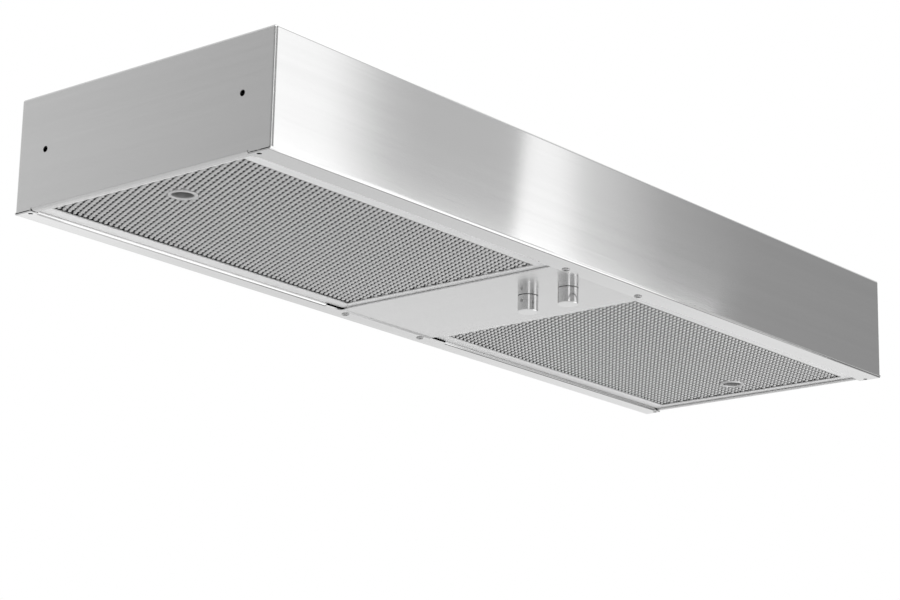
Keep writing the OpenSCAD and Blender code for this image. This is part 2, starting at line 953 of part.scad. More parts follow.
// A strap under a round body, hung from the top panel by two feet
module hanging_strap(y, z, r, thick, wide, foot) {
    drop = top_under - z;
    translate([0, y, z]) along_x(wide) {
        difference() {
            circle(r = r + thick);
            circle(r = r);
            translate([-2 * r, 0]) square([4 * r, 2 * r]);
        }
        for (side = [0, 1]) mirror([side, 0]) {
            translate([r, 0]) square([thick, drop]);
            translate([r, drop - thick]) square([foot, thick]);
        }
    }
}

// The holes in the straps' feet
module strap_holes() {
    blower_fixings() translate([0, 0, top_under - scroll_foot / 2]) cylinder(r = screw_r, h = scroll_foot);
}

module motor_band() {
    color(pale_metal) difference() {
        hanging_strap(blower_y, blower_z, motor_r, band_t, band_w, band_foot);
        strap_holes();
    }
}

module capacitor_strap() {
    color(pale_metal) difference() {
        hanging_strap(cap_y, cap_z, cap_r, strap_t, strap_w, strap_foot);
        strap_holes();
    }
}

module capacitor() {
    color("lightgray") translate([0, cap_y, cap_z]) rotate([0, 90, 0]) {
        cylinder(r = cap_r, h = cap_l - 2 * cap_rim, center = true);
        cylinder(r = cap_r - cap_rim, h = cap_l, center = true);
    }
}

module blower_screws() {
    color(pale_metal) blower_fixings() translate([0, 0, top_z]) rotate([180, 0, 0]) pan_screw(screw_l);
}

// Duct collar and damper

module duct_collar() {
    inner = [collar_w - 2 * collar_t, collar_d - 2 * collar_t, 4 * collar_h];
    stop_z = hinge_z - flap_t / 2 - seat_gap - collar_t / 2;
    color(pale_metal) {
        difference() {
            union() {
                translate([0, collar_y, top_z + collar_h / 2]) block([collar_w, collar_d, collar_h]);
                translate([0, collar_y, top_z + collar_t / 2])
                    block([collar_w + 2 * collar_foot, collar_d + 2 * collar_foot, collar_t]);
            }
            translate([0, collar_y, top_z]) block(inner);
            collar_fixings() translate([0, 0, top_z - overrun])
                cylinder(r = rivet_r, h = collar_t + 2 * overrun);
            translate([0, hinge_y, hinge_z]) rotate([0, 90, 0])
                cylinder(r = pin_r, h = 2 * collar_w, center = true);
        }
        translate([0, collar_y - collar_d / 2 + (stop_w + collar_t) / 2, stop_z])
            block([collar_w - 2 * stop_inset, stop_w + collar_t, collar_t]);
    }
}

module collar_rivets() {
    color(pale_metal) collar_fixings() translate([0, 0, top_z + collar_t]) rivet(collar_t + sheet_t);
}

// The flap: a plate rolled round the pin along its rear edge
module damper_flap() {
    length = collar_w - 2 * (collar_t + flap_gap);
    reach = hinge_y - collar_y + collar_d / 2 - collar_t - flap_gap;
    color(pale_metal) translate([0, hinge_y, hinge_z]) along_x(length) difference() {
        union() {
            circle(r = barrel_r);
            translate([-reach, -flap_t / 2]) square([reach, flap_t]);
        }
        circle(r = pin_r + running_gap);
    }
}

module damper_pin() {
    head_l = collar_t;
    color(pale_metal) translate([0, hinge_y, hinge_z]) rotate([0, 90, 0]) {
        cylinder(r = pin_r, h = collar_w + 2 * head_l, center = true);
        for (side = [0, 1]) mirror([0, 0, side]) translate([0, 0, collar_w / 2])
            cylinder(r = pin_r + flap_roll, h = head_l);
    }
}

// Junction box and wiring

// The box, open downwards, with two tabs for the cover's screws
module junction_box() {
    color(pale_metal) difference() {
        union() {
            difference() {
                translate([0, box_mid, box_z + box_h / 2]) block([box_w, box_d, box_h]);
                translate([0, box_mid, box_z + box_h / 2 - box_t])
                    block([box_w - 2 * box_t, box_d - 2 * box_t, box_h]);
            }
            for (side = [-1, 1]) translate([side * cover_screw_x, box_mid, box_z + box_t / 2])
                block([cover_tab, cover_tab_d, box_t]);
        }
        knockout();
        cover_fixings() cylinder(r = screw_r, h = 4 * box_t, center = true);
        translate([lead_x, box_front, box_z + box_h / 2]) rotate([90, 0, 0])
            cylinder(r = lead_r + grommet_side, h = 4 * box_t, center = true);
    }
}

// Places of the screws in the cover of the junction box
module cover_fixings() {
    for (side = [-1, 1]) translate([side * cover_screw_x, box_mid, box_z]) children();
}

module junction_cover() {
    color(pale_metal) difference() {
        translate([0, box_mid, box_z - box_t / 2]) block([box_w, box_d, box_t]);
        cover_fixings() cylinder(r = screw_r, h = 4 * box_t, center = true);
        translate([-lead_x, cable_y, box_z])
            cylinder(r = cable_r + grommet_side, h = 4 * box_t, center = true);
    }
}

module cover_screws() {
    color(pale_metal) cover_fixings() translate([0, 0, -box_t]) pan_screw(screw_l);
}

// A row of screw terminals under the top of the box
module terminal_block() {
    pitch = block_w / block_ways;
    color("ivory") difference() {
        translate([0, cable_y, block_z + block_h / 2]) block([block_w, block_d, block_h]);
        for (i = [1 : block_ways - 1]) translate([i * pitch - block_w / 2, cable_y, block_z])
            block([block_groove, block_d + overrun, 2 * block_groove]);
    }
}

// The sheathed cable from the shield, under the motor, up into the box
module control_cable() {
    color("dimgray") lead([
        [-lead_x, shield_back - 4 * cable_r, cable_z],
        [-lead_x, cable_y, cable_z],
        [-lead_x, cable_y, block_z]
    ], cable_r);
}

module motor_lead() {
    color("black") lead([
        [lead_x, blower_y + motor_r, box_z + box_h / 2],
        [lead_x, cable_y, box_z + box_h / 2],
        [lead_x, cable_y, block_z]
    ], lead_r);
}

module capacitor_lead() {
    turn_x = cap_l / 2 + 3 * lead_r;
    color("black") lead([
        [cap_l / 2, cap_y, cap_z],
        [turn_x, cap_y, cap_z],
        [turn_x, cap_y, blower_z],
        [lead_x, cap_y, blower_z],
        [lead_x, blower_y - motor_r, blower_z]
    ], lead_r);
}

// A rubber ring in a hole of a sheet, a lip on each side of it
module grommet(r, thick) {
    ring(r + grommet_side, r, thick);
    for (level = [-grommet_side, thick]) translate([0, 0, level])
        ring(r + grommet_side + grommet_lip, r, grommet_side);
}

module cable_grommets() {
    color("black") {
        translate([-lead_x, shield_back, cable_z]) rotate([90, 0, 0]) grommet(cable_r, shield_t);
        translate([-lead_x, cable_y, box_z - box_t]) grommet(cable_r, box_t);
        translate([lead_x, box_front + box_t, box_z + box_h / 2]) rotate([90, 0, 0]) grommet(lead_r, box_t);
    }
}

front_panel();
rear_panel();
left_end_panel();
right_end_panel();
top_panel();
top_rivets();
centre_panel();
panel_screws();
panel_nuts();
left_filter_frame();
left_filter_mesh();
left_filter_eyelet();
right_filter_frame();
right_filter_mesh();
right_filter_eyelet();
fan_knob();
fan_set_screw();
fan_shaft();
fan_control();
light_knob();
light_set_screw();
light_shaft();
light_dimmer();
control_nuts();
control_shield();
shield_nuts();
motor();
motor_shaft();
motor_band();
left_wheel();
right_wheel();
left_scroll();
right_scroll();
left_inlet_ring();
right_inlet_ring();
blower_screws();
capacitor();
capacitor_strap();
junction_box();
junction_cover();
cover_screws();
terminal_block();
control_cable();
motor_lead();
capacitor_lead();
cable_grommets();
duct_collar();
collar_rivets();
damper_flap();
damper_pin();
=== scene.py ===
import math

import bpy
import numpy as np
from mathutils import Matrix, Vector


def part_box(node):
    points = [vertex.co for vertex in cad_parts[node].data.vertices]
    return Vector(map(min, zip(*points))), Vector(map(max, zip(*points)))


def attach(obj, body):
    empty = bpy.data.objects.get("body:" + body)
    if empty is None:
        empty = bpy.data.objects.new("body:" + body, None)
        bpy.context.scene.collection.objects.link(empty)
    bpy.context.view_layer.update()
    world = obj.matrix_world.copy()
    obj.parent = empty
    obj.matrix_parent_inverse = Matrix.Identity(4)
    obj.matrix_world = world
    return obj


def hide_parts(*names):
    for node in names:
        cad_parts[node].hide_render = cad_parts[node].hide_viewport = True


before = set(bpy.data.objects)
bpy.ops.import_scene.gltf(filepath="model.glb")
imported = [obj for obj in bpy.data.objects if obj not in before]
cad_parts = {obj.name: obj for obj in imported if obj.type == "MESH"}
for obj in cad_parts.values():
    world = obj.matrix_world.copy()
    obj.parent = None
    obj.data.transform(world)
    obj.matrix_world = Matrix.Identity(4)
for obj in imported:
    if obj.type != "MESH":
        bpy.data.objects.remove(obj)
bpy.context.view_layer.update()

# The camera stands low at the left of the hood and looks up at its underside, as a person would who bends
# down to look into a cabinet. It is a long lens, so the hood's far end is only a little smaller.
camera_lens_mm = 102.83
camera_place = Vector((-1.8112, -1.47705, -0.6384))
camera_forward = Vector((0.73700, 0.62175, 0.26507))
camera_right = Vector((0.64022, -0.76790, 0.02111))
camera_up = Vector((-0.21667, -0.15415, 0.96400))
camera = bpy.data.objects.new("photo_camera", bpy.data.cameras.new("photo_camera"))
camera.data.lens = camera_lens_mm
camera.data.sensor_width = 36
camera.data.clip_start = 0.05
bpy.context.scene.collection.objects.link(camera)
camera.matrix_world = Matrix.Translation(camera_place) @ Matrix(
    (camera_right, camera_up, -camera_forward)).transposed().to_4x4()
bpy.context.scene.camera = camera
bpy.context.scene.view_settings.view_transform = "Standard"

# The studio is a white sweep with a pale floor under the hood. Metal shows the sweep as the background does,
# and the floor keeps the hood's shadow.
def new_material(name):
    material = bpy.data.materials.new(name)
    material.use_nodes = True
    tree = material.node_tree
    tree.nodes.clear()
    return material, tree


def add_node(tree, kind, **settings):
    node = tree.nodes.new(kind)
    for key, value in settings.items():
        if key in node.inputs:
            node.inputs[key].default_value = value
        else:
            setattr(node, key, value)
    return node


def add_mesh(name, verts, faces, material, smooth=False):
    mesh = bpy.data.meshes.new(name)
    mesh.from_pydata([tuple(v) for v in verts], [], [tuple(f) for f in faces])
    mesh.update()
    if smooth:
        mesh.shade_smooth()
    piece = bpy.data.objects.new(name, mesh)
    bpy.context.scene.collection.objects.link(piece)
    mesh.materials.append(material)
    return piece


def seen_directly(tree):
    """1 for a ray from the camera, or one that metal or glass has turned; else 0."""
    path = add_node(tree, "ShaderNodeLightPath")
    turned = add_node(tree, "ShaderNodeMath", operation="MAXIMUM")
    tree.links.new(path.outputs["Is Glossy Ray"], turned.inputs[0])
    tree.links.new(path.outputs["Is Transmission Ray"], turned.inputs[1])
    either = add_node(tree, "ShaderNodeMath", operation="MAXIMUM")
    tree.links.new(path.outputs["Is Camera Ray"], either.inputs[0])
    tree.links.new(turned.outputs[0], either.inputs[1])
    return either.outputs[0]


room_light = 0.85
world = bpy.data.worlds.new("white_sweep")
bpy.context.scene.world = world
world.use_nodes = True
tree = world.node_tree
tree.nodes.clear()
sweep = add_node(tree, "ShaderNodeBackground", Color=(1, 1, 1, 1), Strength=1.0)
room = add_node(tree, "ShaderNodeBackground", Color=(1, 1, 1, 1), Strength=room_light)
mix = add_node(tree, "ShaderNodeMixShader")
tree.links.new(seen_directly(tree), mix.inputs[0])
tree.links.new(room.outputs[0], mix.inputs[1])
tree.links.new(sweep.outputs[0], mix.inputs[2])
tree.links.new(mix.outputs[0], add_node(tree, "ShaderNodeOutputWorld").inputs[0])

floor_level = -0.78
floor_size = 7.0
# The floor glows a little towards the hood's far end, from and to these places and strengths.
glow_from, glow_to, glow_low, glow_high = 1.6, 2.7, 0.06, 0.26
floor_material, tree = new_material("pale_floor")
paper = add_node(tree, "ShaderNodeBsdfDiffuse", Color=(0.86, 0.86, 0.86, 1))
glow = add_node(tree, "ShaderNodeEmission", Color=(1, 1, 1, 1))
spot = add_node(tree, "ShaderNodeSeparateXYZ")
tree.links.new(add_node(tree, "ShaderNodeNewGeometry").outputs["Position"], spot.inputs[0])
fall = add_node(tree, "ShaderNodeMapRange")
for key, value in (("From Min", glow_from), ("From Max", glow_to),
                   ("To Min", glow_low), ("To Max", glow_high)):
    fall.inputs[key].default_value = value
tree.links.new(spot.outputs["X"], fall.inputs["Value"])
tree.links.new(fall.outputs[0], glow.inputs["Strength"])
both = add_node(tree, "ShaderNodeAddShader")
mix = add_node(tree, "ShaderNodeMixShader")
tree.links.new(paper.outputs[0], both.inputs[0])
tree.links.new(glow.outputs[0], both.inputs[1])
tree.links.new(seen_directly(tree), mix.inputs[0])
tree.links.new(paper.outputs[0], mix.inputs[1])
tree.links.new(both.outputs[0], mix.inputs[2])
tree.links.new(mix.outputs[0], add_node(tree, "ShaderNodeOutputMaterial").inputs[0])
floor_corners = ((-1, -1), (1, -1), (1, 1), (-1, 1))
floor = add_mesh("floor", [(x * floor_size, y * floor_size, floor_level) for x, y in floor_corners],
                 [(0, 1, 2, 3)], floor_material)

# Two screens of card stand behind the camera: one faces the hood's front, the other its left end. A softbox
# stands against the front one, and cards lie on the floor and hang overhead. The camera sees none of them,
# and they cast no shadow: the sheet's faces and folds and the knobs show them as bands of light and dark.
screen_inset = 3.0
screen_low, screen_high = -0.76, 3.4
card_gap = 0.005
card_rise, flag_rise = 0.004, 0.003


def hide_card(card):
    card.visible_camera = False
    card.visible_shadow = False


def plain_card(name, level, corners):
    """A card of one brightness that only metal and gloss show."""
    material, tree = new_material(name)
    shine = add_node(tree, "ShaderNodeEmission", Strength=level)
    tree.links.new(shine.outputs[0], add_node(tree, "ShaderNodeOutputMaterial").inputs[0])
    card = add_mesh(name, corners, [tuple(range(len(corners)))], material)
    card.visible_diffuse = False
    hide_card(card)


def banded_card(name, axis, bands, corners, lights_room=True):
    """A flat glowing card. A band is a place along the axis in metres, and how bright the card is there."""
    material, tree = new_material(name)
    parts = add_node(tree, "ShaderNodeSeparateXYZ")
    tree.links.new(add_node(tree, "ShaderNodeNewGeometry").outputs["Position"], parts.inputs[0])
    first, last = bands[0][0], bands[-1][0]
    share = add_node(tree, "ShaderNodeMapRange")
    share.inputs["From Min"].default_value = first
    share.inputs["From Max"].default_value = last
    tree.links.new(parts.outputs[axis], share.inputs["Value"])
    ramp = add_node(tree, "ShaderNodeValToRGB")
    stops = ramp.color_ramp.elements
    while len(stops) < len(bands):
        stops.new(0.5)
    # A ramp's colours stay under 1, so it holds half of each level and the glow is doubled.
    for stop, (place, level) in zip(stops, bands):
        stop.position = (place - first) / (last - first)
        stop.color = (level / 2, level / 2, level / 2, 1)
    tree.links.new(share.outputs[0], ramp.inputs[0])
    shine = add_node(tree, "ShaderNodeEmission", Strength=2.0)
    tree.links.new(ramp.outputs[0], shine.inputs["Color"])
    tree.links.new(shine.outputs[0], add_node(tree, "ShaderNodeOutputMaterial").inputs[0])
    card = add_mesh(name, corners, [(0, 1, 2, 3)], material)
    card.visible_diffuse = lights_room
    hide_card(card)


def rectangle(low_a, high_a, low_b, high_b):
    return (low_a, low_b), (high_a, low_b), (high_a, high_b), (low_a, high_b)


def in_front(gap, corners):
    """Corners (x, z) on the front screen, or a gap nearer than it."""
    return [(x, gap - screen_inset, z) for x, z in corners]


def on_floor(rise, corners):
    return [(x, y, floor_level + rise) for x, y in corners]


front_bands = [(-3.0, 1.50), (-2.0, 1.50), (-1.92, 0.32), (-1.3, 0.30), (-0.4, 0.44), (2.0, 0.55),
               (2.15, 1.55), (2.65, 1.45), (2.87, 0.80), (3.0, 0.70), (3.5, 0.70), (4.1, 0.56), (4.5, 0.44),
               (5.4, 0.41), (6.2, 0.5), (8.0, 0.9)]
banded_card("front_screen", "X", front_bands, in_front(0, rectangle(-3.0, 8.0, screen_low, screen_high)))
end_bands = [(-3.0, 1.40), (-2.6, 1.40), (-2.5, 0.34), (-1.0, 0.34), (0.3, 0.50), (1.6, 0.55), (2.3, 0.57),
             (3.25, 0.80), (4.2, 0.85), (6.0, 0.9)]
banded_card("end_screen", "Y", end_bands,
            [(-screen_inset, y, z) for y, z in rectangle(-3.0, 6.0, screen_low, screen_high)])
slanted_bands = [(3.2, 1.50), (3.6, 1.42), (3.72, 0.95), (3.9, 0.78), (4.1, 0.56)]
slanted_corners = ((3.07, screen_low), (4.1, screen_low), (4.1, screen_high), (3.70, screen_high))
banded_card("slanted_card", "X", slanted_bands, in_front(card_gap, slanted_corners))
plain_card("low_softbox", 2.6, in_front(2 * card_gap, rectangle(1.3, 4.3, 0.92, 1.3)))

# On the floor: bright cards that the front fold and the knobs show, and dark cards for the flats between.
# The nearer dark card is painted shadow: it stands in for the hood's own shadow on the floor.
plain_card("floor_card", 1.7, on_floor(card_rise, (
    (0.9, -2.9), (3.0, -2.9), (1.5, -1.2), (0.95, 0.05), (0.2, 0.05))))
near_left, near_right = (-0.764, -0.645), (-0.559, -0.832)
near_from, near_to = 2.2, 3.4
plain_card("near_floor_card", 2.1, on_floor(card_rise, [(x * reach, y * reach) for (x, y), reach in (
    (near_left, near_from), (near_left, near_to), (near_right, near_to), (near_right, near_from))]))
# Painted shadow: a dark card, seen only in the metal, where the hood's own shadow lies on the floor.
plain_card("floor_shadow_card", 0.3, on_floor(flag_rise, rectangle(0.55, 1.7, 0.1, 0.95)))
rear_bands = [(0.9, 1.25), (1.3, 1.2), (1.53, 1.03), (1.67, 0.98), (1.94, 0.93), (2.3, 0.93)]
banded_card("rear_floor_card", "X", rear_bands, on_floor(flag_rise, rectangle(0.9, 2.3, 1.88, 2.4)),
            lights_room=False)
plain_card("far_floor_flag", 0.3, on_floor(flag_rise, (
    (1.45, 0.05), (1.6, -0.6), (2.02, -1.6), (2.8, -1.6), (2.6, -0.6), (2.0, 0.05))))

# Overhead: the card that the top fold shows.
overhead_bands = [(1.6, 1.6), (3.1, 1.6), (3.3, 1.2), (3.6, 1.08), (4.4, 0.92), (6.5, 0.92)]
banded_card("overhead_card", "X", overhead_bands,
            [(x, y, screen_high) for x, y in rectangle(1.6, 6.5, -1.6, 2.6)], lights_room=False)

# A large soft lamp hangs high in front and to the left.
lamp = bpy.data.objects.new("top_softbox", bpy.data.lights.new("top_softbox", "AREA"))
lamp.data.shape = "RECTANGLE"
lamp.data.size, lamp.data.size_y = 2.4, 1.6
lamp.data.energy = 30
lamp.location = (-1.0, -1.4, 2.4)
lamp.rotation_euler = (Vector((0, 0, 0.05)) - lamp.location).to_track_quat("-Z", "Y").to_euler()
bpy.context.scene.collection.objects.link(lamp)

# Body panels: five sheets of 18 gauge stainless steel, sheared, punched and folded on a brake, with a fine
# straight grain along their length. Spot welds and blind rivets hold them together.
def brushed_metal(name, tone, grain, rough, smear, streak=0.05):
    """Sheet or bar with a straight grain along the grain axis; smear is how far it draws out reflections."""
    material, tree = new_material(name)
    axes = {"X": 0, "Y": 1, "Z": 2}
    place = add_node(tree, "ShaderNodeTexCoord")
    textures = []
    for size, detail in ((900, 3), (120, 4)):
        stretch = add_node(tree, "ShaderNodeMapping")
        scale = [size, size, size]
        scale[axes[grain]] = size / 90
        stretch.inputs["Scale"].default_value = scale
        tree.links.new(place.outputs["Object"], stretch.inputs["Vector"])
        hairs = add_node(tree, "ShaderNodeTexNoise", Scale=1.0, Detail=detail, Roughness=0.6)
        tree.links.new(stretch.outputs[0], hairs.inputs["Vector"])
        textures.append(hairs)
    fine, broad = textures
    shader = add_node(tree, "ShaderNodeBsdfPrincipled")
    shader.inputs["Metallic"].default_value = 1.0
    shader.inputs["Anisotropic"].default_value = smear
    shader.inputs["Anisotropic Rotation"].default_value = 0.25
    colour = add_node(tree, "ShaderNodeMix", data_type="RGBA")
    dark, light = tone * (1 - streak), min(1.0, tone * (1 + streak))
    colour.inputs["A"].default_value = (dark, dark, dark, 1)
    colour.inputs["B"].default_value = (light, light, light, 1)
    tree.links.new(broad.outputs["Fac"], colour.inputs["Factor"])
    tree.links.new(colour.outputs["Result"], shader.inputs["Base Color"])
    gloss = add_node(tree, "ShaderNodeMapRange")
    gloss.inputs["To Min"].default_value = rough * 0.85
    gloss.inputs["To Max"].default_value = rough * 1.15
    tree.links.new(fine.outputs["Fac"], gloss.inputs["Value"])
    tree.links.new(gloss.outputs[0], shader.inputs["Roughness"])
    bump = add_node(tree, "ShaderNodeBump", Strength=0.12, Distance=0.00004)
    tree.links.new(fine.outputs["Fac"], bump.inputs["Height"])
    tree.links.new(bump.outputs[0], shader.inputs["Normal"])
    line = add_node(tree, "ShaderNodeCombineXYZ", **dict(X=0.02, Y=0.03, Z=0.01) | {grain: 1.0})
    tree.links.new(line.outputs[0], shader.inputs["Tangent"])
    tree.links.new(shader.outputs[0], add_node(tree, "ShaderNodeOutputMaterial").inputs[0])
    return material


def finish_node(name, material):
    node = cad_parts[name]
    node.data.materials.clear()
    node.data.materials.append(material)


long_sheet = brushed_metal("brushed_stainless_long", 0.62, "X", 0.06, smear=1.0)
end_sheet = brushed_metal("brushed_stainless_end", 0.62, "Y", 0.2, smear=1.0)
for name in ("front_panel", "rear_panel", "top_panel"):
    finish_node(name, long_sheet)
for name in ("left_end_panel", "right_end_panel"):
    finish_node(name, end_sheet)

# Centre panel: a flat stainless sheet, sheared and punched, that lies on the front and rear flanges between
# the filters. Its grain runs from front to back and smears reflections less, so the knobs show in it.
cross_sheet = brushed_metal("brushed_stainless_cross", 0.62, "Y", 0.19, smear=0.3)
finish_node("centre_panel", cross_sheet)

# Nuts, small screws, shafts and rivets: bright plated steel that was cold formed and rolled or turned, and
# aluminium blind rivets pulled from one side. The capacitor's can is drawn aluminium.
def cast_metal(name, tone, rough, mottle=0.04, grain_size=400):
    """Metal with no straight grain: tumbled, plated, cast or zinc-coated."""
    material, tree = new_material(name)
    place = add_node(tree, "ShaderNodeTexCoord")
    clouds = add_node(tree, "ShaderNodeTexNoise", Scale=float(grain_size), Detail=4.0, Roughness=0.6)
    tree.links.new(place.outputs["Object"], clouds.inputs["Vector"])
    shader = add_node(tree, "ShaderNodeBsdfPrincipled")
    shader.inputs["Metallic"].default_value = 1.0
    colour = add_node(tree, "ShaderNodeMix", data_type="RGBA")
    dark, light = tone * (1 - mottle), min(1.0, tone * (1 + mottle))
    colour.inputs["A"].default_value = (dark, dark, dark, 1)
    colour.inputs["B"].default_value = (light, light, light, 1)
    tree.links.new(clouds.outputs["Fac"], colour.inputs["Factor"])
    tree.links.new(colour.outputs["Result"], shader.inputs["Base Color"])
    gloss = add_node(tree, "ShaderNodeMapRange")
    gloss.inputs["To Min"].default_value = rough * 0.75
    gloss.inputs["To Max"].default_value = rough * 1.25
    tree.links.new(clouds.outputs["Fac"], gloss.inputs["Value"])
    tree.links.new(gloss.outputs[0], shader.inputs["Roughness"])
    bump = add_node(tree, "ShaderNodeBump", Strength=0.2, Distance=0.00002)
    tree.links.new(clouds.outputs["Fac"], bump.inputs["Height"])
    tree.links.new(bump.outputs[0], shader.inputs["Normal"])
    tree.links.new(shader.outputs[0], add_node(tree, "ShaderNodeOutputMaterial").inputs[0])
    return material


bright_steel = cast_metal("bright_plated_steel", 0.66, 0.22)
satin_aluminium = cast_metal("satin_aluminium", 0.78, 0.36)
for name in ("panel_nuts", "control_nuts", "shield_nuts", "blower_screws", "cover_screws", "fan_shaft",
             "light_shaft", "motor_shaft", "damper_pin"):
    finish_node(name, bright_steel)
for name in ("top_rivets", "collar_rivets", "capacitor"):
    finish_node(name, satin_aluminium)

# Panel screws: four steel machine screws with low pan heads and a cross recess, driven up through the flange
# and the centre panel into nuts. Their plating is dull and darker than the sheet.
head_tall, shank_r = 0.0013, 0.0019
cross_wide, cross_long, cross_deep, cross_edge = 0.0015, 0.0052, 0.0012, 0.00016
# How far each recess was left turned, in degrees.
recess_turns = (20, 65, 5, 50)
round_turns, dome_steps = 96, 30
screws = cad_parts["panel_screws"]
points = np.array([tuple(screws.matrix_world @ v.co) for v in screws.data.vertices])
under_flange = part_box("front_panel")[0].z
screw_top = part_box("panel_screws")[1].z
turn = np.arange(round_turns) * 2 * math.pi / round_turns


def recess_share(across, along):
    """1 where the cross recess is at its full depth, 0 on the plain head."""
    cut = np.zeros(round_turns)
    for u, v in ((across, along), (along, across)):
        wide = np.clip((cross_wide / 2 - abs(u)) / cross_edge, 0, 1)
        cut = np.maximum(cut, wide * np.clip((cross_long / 2 - abs(v)) / cross_edge, 0, 1))
    return cut


verts, faces = [], []
for corner, twist in enumerate(recess_turns):
    one = points[((points[:, 0] > 0) == (corner % 2 == 1)) & ((points[:, 1] > 0) == (corner > 1))]
    centre_x, centre_y = (one[:, 0].min() + one[:, 0].max()) / 2, (one[:, 1].min() + one[:, 1].max()) / 2
    head_r = (one[:, 0].max() - one[:, 0].min()) / 2
    rings = []
    for i in range(1, dome_steps + 1):
        share = math.sin(math.pi / 2 * i / dome_steps)
        cut = recess_share(head_r * share * np.cos(turn - math.radians(twist)),
                           head_r * share * np.sin(turn - math.radians(twist)))
        dome = head_tall * (1 - share ** 3) ** (1 / 3)
        rings.append((head_r * share, under_flange - dome + cut * cross_deep))
    rings += [(shank_r, np.full(round_turns, under_flange)), (shank_r, np.full(round_turns, screw_top))]
    start = len(verts)
    verts.append((centre_x, centre_y, under_flange - head_tall + cross_deep))
    for r, level in rings:
        verts += list(zip(centre_x + r * np.cos(turn), centre_y + r * np.sin(turn), level))
    verts.append((centre_x, centre_y, screw_top))
    for i in range(round_turns):
        j = (i + 1) % round_turns
        faces.append((start, start + 1 + j, start + 1 + i))
        for k in range(len(rings) - 1):
            a = start + 1 + k * round_turns
            faces.append((a + i, a + j, a + round_turns + j, a + round_turns + i))
        a = start + 1 + (len(rings) - 1) * round_turns
        faces.append((a + i, a + j, len(verts) - 1))
heads = add_mesh("panel_screw_heads", verts, faces, cast_metal("dull_plated_steel", 0.45, 0.24), smooth=True)
heads.data.set_sharp_from_angle(angle=math.radians(40))
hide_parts("panel_screws")
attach(heads, "hood")

# Filter frames: satin aluminium channel, rolled from strip, cut to mitres at the corners and folded round the
# edge of the mesh. Each filter's four faces differ in width, as the photo shows.
channel_gauge = 0.001
channel_round = 0.0009
round_steps = 6
mitre_gap = 0.00012
# Widths of the folded-over face at each filter's left, right, front and back.
channel_faces = {"left": (0.0085, 0.014, 0.01435, 0.01435), "right": (0.014, 0.0135, 0.01135, 0.01435)}
frame_aluminium = brushed_metal("satin_channel", 0.88, "X", 0.42, smear=0.4)


def channel_outline(face, tall):
    """Section of the channel: (inward, up) from the filter's lower edge, its two outer corners rounded."""
    outline = [(face, 0.0)]
    angles = [math.pi / 2 * i / round_steps for i in range(round_steps + 1)]
    for a in angles:
        outline.append((channel_round * (1 - math.sin(a)), channel_round * (1 - math.cos(a))))
    for a in angles:
        outline.append((channel_round * (1 - math.cos(a)), tall - channel_round * (1 - math.sin(a))))
    return outline + [(face, tall), (face, tall - channel_gauge), (channel_gauge, tall - channel_gauge),
                      (channel_gauge, channel_gauge), (face, channel_gauge)]


for side, (left, right, front, back) in channel_faces.items():
    low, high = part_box(side + "_filter_frame")
    corners = [(low.x, low.y, left, front), (high.x, low.y, -right, front), (high.x, high.y, -right, -back),
               (low.x, high.y, left, -back)]
    verts, faces = [], []
    for k, face in enumerate((front, right, back, left)):
        outline = channel_outline(face, high.z - low.z)
        start, count = len(verts), len(outline)
        for (cx, cy, dx, dy), step in ((corners[k], 1), (corners[(k + 1) % 4], -1)):
            along = Vector((1, 0, 0) if k in (0, 2) else (0, 1, 0)) * (1 if k < 2 else -1) * step
            verts += [Vector((cx + dx * u / face, cy + dy * u / face, low.z + v)) + along * mitre_gap
                      for u, v in outline]
        for i in range(count):
            j = (i + 1) % count
            faces.append((start + i, start + j, start + count + j, start + count + i))
        faces.append(tuple(start + i for i in reversed(range(count))))
        faces.append(tuple(start + count + i for i in range(count)))
    channel = add_mesh(side + "_channel_frame", verts, faces, frame_aluminium)
    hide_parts(side + "_filter_frame")
    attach(channel, side + "_filter")

# Filter mesh: aluminium sheet that was slit and pulled into diamonds, 6 by 13 mm, their long way from front
# to back. Its knuckles lie flat and lowest, and the strands between them rise and turn. A second sheet lies
# off step behind the first, toned darker as painted shade, and a flat dark sheet behind closes the view: it
# is painted shade for the depth of the pack. The channel grips their edges.
diamond_x, diamond_y = 0.00595, 0.0133
ridge_wide, ridge_sag = 0.0028, 0.0008
# Half of the ridge's flat, as a share of its width.
ridge_flat_share = 0.32
bridge_wide, bridge_gauge, bridge_tilt = 0.0019, 0.0003, 0.0003
strand_rise = 0.0014
# How far the sheets run in behind the channel's faces, and how far up each lies.
mesh_tuck = 0.004
mesh_gap, inner_rise, behind_rise = 0.0001, 0.0026, 0.0044
# Radius round the finger hole that stays free of strands, and the one cut in the sheet behind.
strand_clear_r, behind_hole_r = 0.0118, 0.0103
hole_turns = 48
# Stations along a strand: the share of its length, and its width and rise there as shares of the full ones.
ridge_stations = [(0, 1.25, 0), (0.17, 1.2, 0), (0.33, 0.8, 0.7), (0.5, 0.7, 1), (0.67, 0.8, 0.7),
                  (0.83, 1.2, 0), (1, 1.25, 0)]
bridge_stations = [(0, 1, 0.2), (0.3, 1, 0.8), (0.7, 1, 0.8), (1, 1, 0.2)]
plain_stations = [(0, 1, 0), (1, 1, 0)]
# Sections of a strand, as (aside, height).
ridge = [(-ridge_wide / 2, ridge_sag), (-ridge_wide * ridge_flat_share, 0.0),
         (ridge_wide * ridge_flat_share, 0.0), (ridge_wide / 2, ridge_sag)]
bridge = [(-bridge_wide / 2, 0.0), (bridge_wide / 2, bridge_tilt),
          (bridge_wide / 2, bridge_tilt + bridge_gauge), (-bridge_wide / 2, bridge_gauge)]
# The right-hand mesh is a little greyer than the left one.
strand_metal = {"left": cast_metal("expanded_aluminium", 0.55, 0.32, mottle=0.12, grain_size=260),
                "right": cast_metal("expanded_aluminium_greyed", 0.45, 0.32, mottle=0.12, grain_size=260)}
